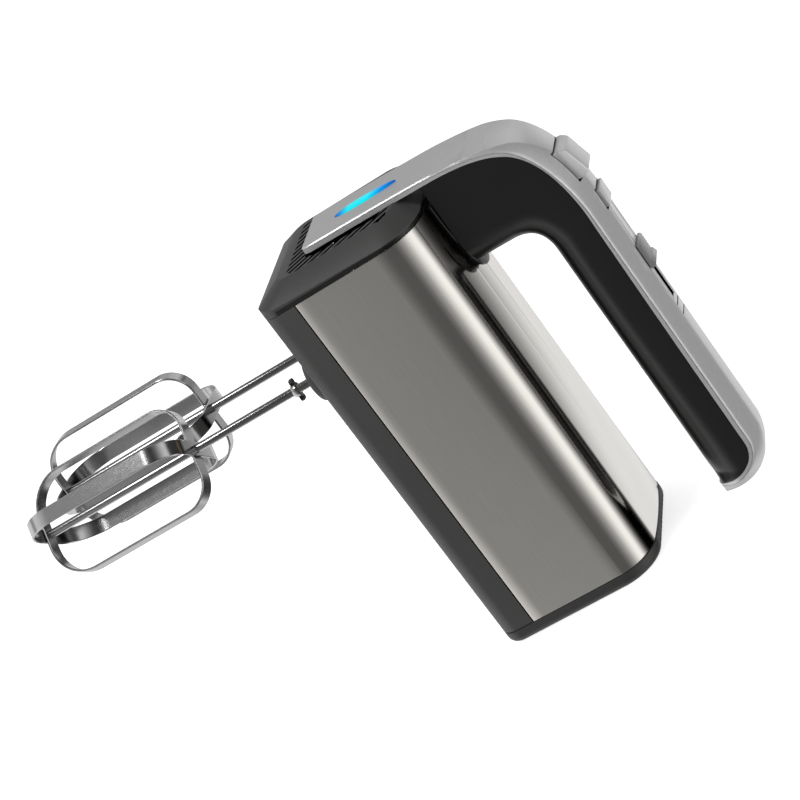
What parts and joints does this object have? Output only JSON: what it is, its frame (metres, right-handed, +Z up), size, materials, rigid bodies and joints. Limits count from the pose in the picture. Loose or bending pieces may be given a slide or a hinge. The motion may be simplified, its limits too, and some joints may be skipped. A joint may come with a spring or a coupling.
{
  "type": "hand mixer",
  "caption": "Kitchen hand mixer: boxy steel-wrapped motor body, arched grip with thumb controls, and two interleaved wire-strip beaters.",
  "frame": {"origin": "centre of the flat heel on the rear cover, which the mixer stands on", "axes": "-Z out of the heel, so +Z runs up through the body to the vented nose; +Y towards the handle, so the beaters point to -Y; +X is the left side of someone holding the mixer"},
  "size_m": [0.0927, 0.3098, 0.2047],
  "materials": {
    "steel": "brushed along the body, satin",
    "dark_plastic": "fine matt moulding",
    "black_plastic": "soft-touch matt black",
    "silver": "satin silver",
    "chrome": "polished wire strip",
    "glow": "lit clear lens",
    "nylon": "unpainted moulding",
    "iron": "bare laminated or turned iron",
    "copper": "enamelled copper wire and segments",
    "brass": "turned sintered bushes and pressed holders",
    "carbon": "pressed carbon or dark moulding",
    "board": "lacquered circuit board"
  },
  "bodies": {
    "housing": {"steel_wrap": "steel", "base_shell": "dark_plastic", "front_cover": "dark_plastic", "rear_cover": "dark_plastic", "handle_grip": "black_plastic", "handle_saddle": "black_plastic", "handle_top": "silver", "eject_spring": "chrome", "light_bar": "glow", "gear_cradle": "nylon", "gear_cover": "nylon", "motor_bolt_left": "iron", "motor_bolt_right": "iron", "handle_screw_left": "iron", "handle_screw_right": "iron", "base_screw_1": "iron", "base_screw_2": "iron", "base_screw_3": "iron", "base_screw_4": "iron", "motor_bracket_front": "iron", "motor_bracket_rear": "iron", "stator_core": "iron", "field_coil_upper": "copper", "field_coil_lower": "copper", "spindle_bush_left": "brass", "spindle_bush_right": "brass", "brush_holder_left": "brass", "brush_holder_right": "brass", "bearing_front": "brass", "bearing_middle": "brass", "bearing_rear": "brass", "turbo_switch": "carbon", "slide_switch": "carbon", "brush_left": "carbon", "brush_right": "carbon", "led_board": "board", "control_board": "board"},
    "armature": {"armature_shaft": "iron", "armature_core": "iron", "armature_winding_front": "copper", "armature_winding_rear": "copper", "commutator": "copper", "cooling_fan": "nylon"},
    "gear_left": {"drive_gear_left": "nylon"},
    "gear_right": {"drive_gear_right": "nylon"},
    "beater_left": {"beater_left_outer_strip": "chrome", "beater_left_inner_strip": "chrome", "beater_left_shaft": "chrome", "beater_left_collar": "chrome"},
    "beater_right": {"beater_right_outer_strip": "chrome", "beater_right_inner_strip": "chrome", "beater_right_shaft": "chrome", "beater_right_collar": "chrome"},
    "eject": {"eject_button": "silver", "eject_yoke": "nylon"},
    "turbo": {"turbo_button": "silver"},
    "slider": {"speed_slider": "silver"}
  },
  "joints": [
    {"name": "motor_spin", "type": "hinge", "parent": "housing", "child": "armature", "pos_m": [0, -0.00125, 0.092], "axis": [0, 0, 1], "continuous": true},
    {"name": "gear_left_spin", "type": "hinge", "parent": "housing", "child": "gear_left", "pos_m": [0.0206, 0.00175, 0.1517], "axis": [0, 1, 0], "continuous": true},
    {"name": "gear_right_spin", "type": "hinge", "parent": "housing", "child": "gear_right", "pos_m": [-0.0206, 0.00175, 0.1517], "axis": [0, 1, 0], "continuous": true},
    {"name": "beater_left_pull", "type": "slide", "parent": "gear_left", "child": "beater_left", "axis": [0, -1, 0], "range_m": [0, 0.06]},
    {"name": "beater_right_pull", "type": "slide", "parent": "gear_right", "child": "beater_right", "axis": [0, -1, 0], "range_m": [0, 0.06]},
    {"name": "eject_press", "type": "slide", "parent": "housing", "child": "eject", "axis": [0, -1, 0], "range_m": [0, 0.005], "stiffness_N_per_m": 800, "springref_m": -0.003, "deforming": ["eject_spring"]},
    {"name": "turbo_press", "type": "slide", "parent": "housing", "child": "turbo", "axis": [0, -1, 0], "range_m": [0, 0.0015], "stiffness_N_per_m": 600, "springref_m": -0.001},
    {"name": "speed_slide", "type": "slide", "parent": "housing", "child": "slider", "axis": [0, 0, -1], "range_m": [0, 0.016]}
  ],
  "couplings": [
    {"joint": "gear_left_spin", "follows": "motor_spin", "ratio": -0.071429},
    {"joint": "gear_right_spin", "follows": "motor_spin", "ratio": 0.071429}
  ]
}
